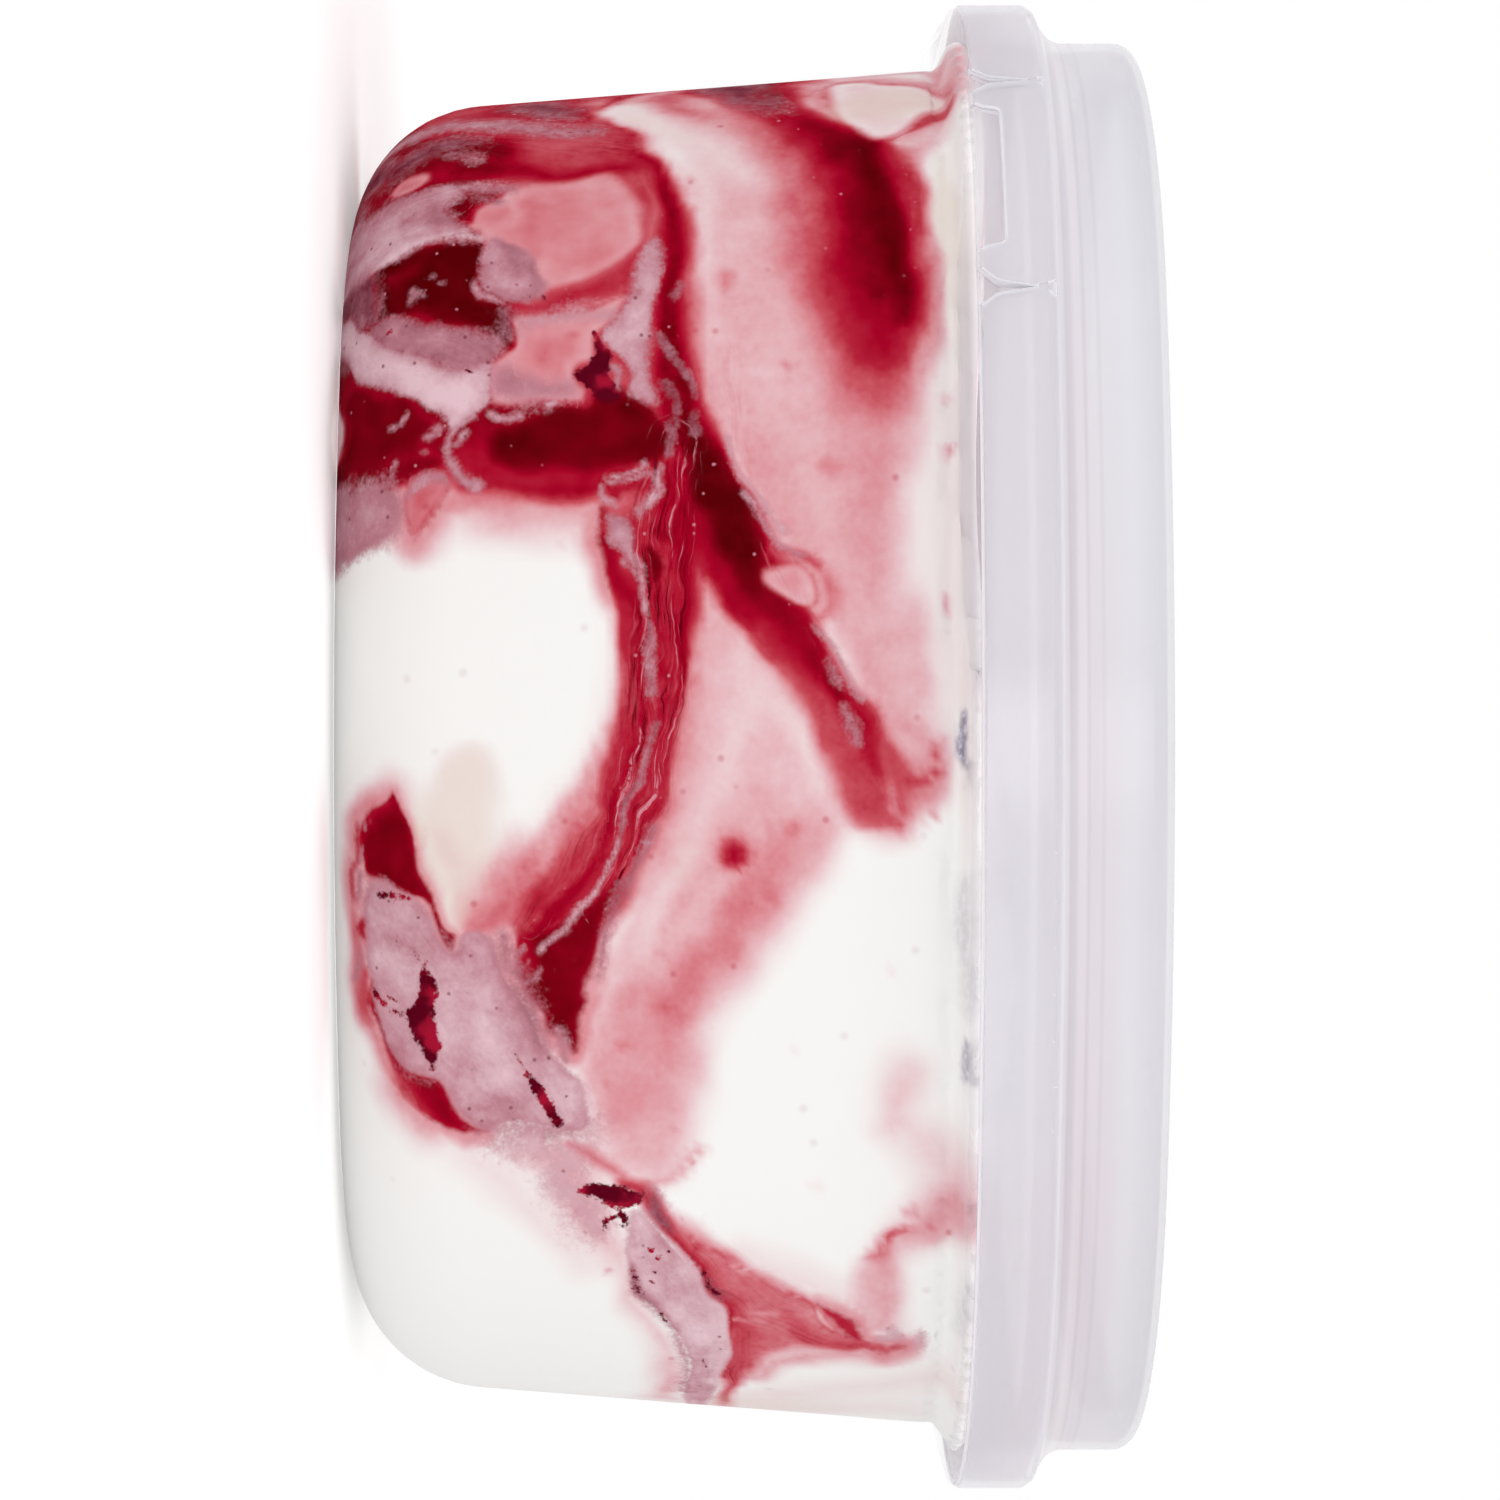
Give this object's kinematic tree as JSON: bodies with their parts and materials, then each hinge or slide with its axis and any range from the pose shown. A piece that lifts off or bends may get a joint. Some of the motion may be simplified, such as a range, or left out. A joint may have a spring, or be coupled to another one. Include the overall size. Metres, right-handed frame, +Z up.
{
  "type": "ice cream tub",
  "caption": "Clear oval plastic ice cream tub with a snap lid and tear tab, filled with red fruit ripple ice cream.",
  "frame": {"origin": "middle of the footprint, on the surface that the tub stands on", "axes": "+Z up out of the lid; X along the tub's length, with the tear tab at the -X, -Y corner; -Y is the front"},
  "size_m": [0.179, 0.121, 0.0933],
  "materials": {
    "tub_plastic": "thin clear polypropylene, smooth and faintly milky",
    "lid_plastic": "thin milky polypropylene, smooth",
    "ice_cream": "white ice cream rippled with pink and deep red fruit sauce, pressed flat against the wall"
  },
  "bodies": {
    "root": {"tub": "tub_plastic", "lid": "lid_plastic", "ice_cream": "ice_cream"}
  },
  "joints": []
}
